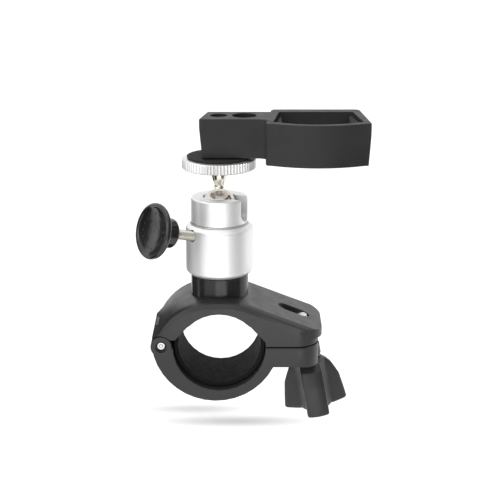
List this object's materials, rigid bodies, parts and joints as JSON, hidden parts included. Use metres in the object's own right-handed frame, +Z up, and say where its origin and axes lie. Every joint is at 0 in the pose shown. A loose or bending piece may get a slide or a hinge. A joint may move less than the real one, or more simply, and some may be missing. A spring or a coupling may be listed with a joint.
{
  "type": "handlebar device mount",
  "caption": "Hinged handlebar clamp with a lobed screw knob, carrying a small ball head with a side lock knob and an open rectangular holder frame.",
  "frame": {"origin": "centre of the handlebar bore, in the middle of the clamp's width", "axes": "+Y along the handlebar, +Z up through the ball head, +X from the hinge towards the clamp screw"},
  "size_m": [0.0877, 0.044, 0.1196],
  "materials": {
    "clamp_plastic": "satin moulded black, glossier on the boss",
    "knob_plastic": "satin moulded black",
    "gloss_plastic": "glossy black",
    "holder_plastic": "fine matte dark grey",
    "rubber": "matte black",
    "pad_rubber": "soft matte dark grey",
    "aluminium": "satin anodised silver",
    "steel": "plated steel",
    "nickel": "polished nickel",
    "brass": "machined",
    "nylon": "natural nylon"
  },
  "bodies": {
    "base": {"upper_jaw": "clamp_plastic", "upper_liner": "rubber", "hinge_pin": "steel", "nut_plate": "steel", "mount_screw": "steel"},
    "lower_jaw": {"lower_jaw": "clamp_plastic", "lower_liner": "rubber"},
    "clamp_washer": {"clamp_washer": "steel"},
    "clamp_knob": {"clamp_knob": "knob_plastic", "clamp_screw": "steel"},
    "head": {"head_housing": "aluminium", "base_plug": "aluminium", "ball_cup": "nylon", "cup_piston": "brass"},
    "lock_tip": {"lock_tip": "brass"},
    "lock_knob": {"lock_screw": "steel", "lock_knob": "gloss_plastic"},
    "ball": {"ball": "nickel"},
    "stem": {"ball_stem": "nickel"},
    "lock_ring": {"lock_ring": "aluminium", "ring_pad": "rubber"},
    "holder": {"holder_frame": "holder_plastic", "quarter_insert": "brass", "large_insert": "steel", "grip_pad_left": "pad_rubber", "grip_pad_right": "pad_rubber"}
  },
  "joints": [
    {"name": "jaw_open", "type": "hinge", "parent": "base", "child": "lower_jaw", "pos_m": [-0.0223, 0, 0], "axis": [0, 1, 0], "range_deg": [0, 70]},
    {"name": "clamp_screw_travel", "type": "slide", "parent": "lower_jaw", "child": "clamp_washer", "axis": [0.1736, 0, -0.9848], "range_m": [0, 0.008]},
    {"name": "clamp_knob_turn", "type": "hinge", "parent": "clamp_washer", "child": "clamp_knob", "pos_m": [0.03646, 0, -0.01928], "axis": [0.1736, 0, -0.9848], "range_deg": [0, 3600]},
    {"name": "head_turn", "type": "hinge", "parent": "base", "child": "head", "pos_m": [0, 0, 0.0251], "axis": [0, 0, 1], "continuous": true},
    {"name": "lock_screw_travel", "type": "slide", "parent": "head", "child": "lock_tip", "axis": [-0.7696, -0.5799, 0.2672], "range_m": [0, 0.0014]},
    {"name": "lock_knob_turn", "type": "hinge", "parent": "lock_tip", "child": "lock_knob", "pos_m": [-0.0227, -0.01711, 0.04598], "axis": [-0.7696, -0.5799, 0.2672], "range_deg": [0, 720]},
    {"name": "ball_pan", "type": "hinge", "parent": "head", "child": "ball", "pos_m": [0, 0, 0.0515], "axis": [0, 0, 1], "continuous": true},
    {"name": "ball_tilt", "type": "hinge", "parent": "ball", "child": "stem", "pos_m": [0, 0, 0.0515], "axis": [0, 1, 0], "range_deg": [-30, 30]},
    {"name": "lock_ring_turn", "type": "hinge", "parent": "stem", "child": "lock_ring", "pos_m": [0, 0, 0.0685], "axis": [0, 0, 1], "continuous": true},
    {"name": "holder_turn", "type": "hinge", "parent": "stem", "child": "holder", "pos_m": [0, 0, 0.079], "axis": [0, 0, 1], "continuous": true}
  ],
  "couplings": [
    {"joint": "clamp_screw_travel", "follows": "clamp_knob_turn", "m_per_rad": 0.00012732},
    {"joint": "lock_screw_travel", "follows": "lock_knob_turn", "m_per_rad": 0.00011141}
  ]
}
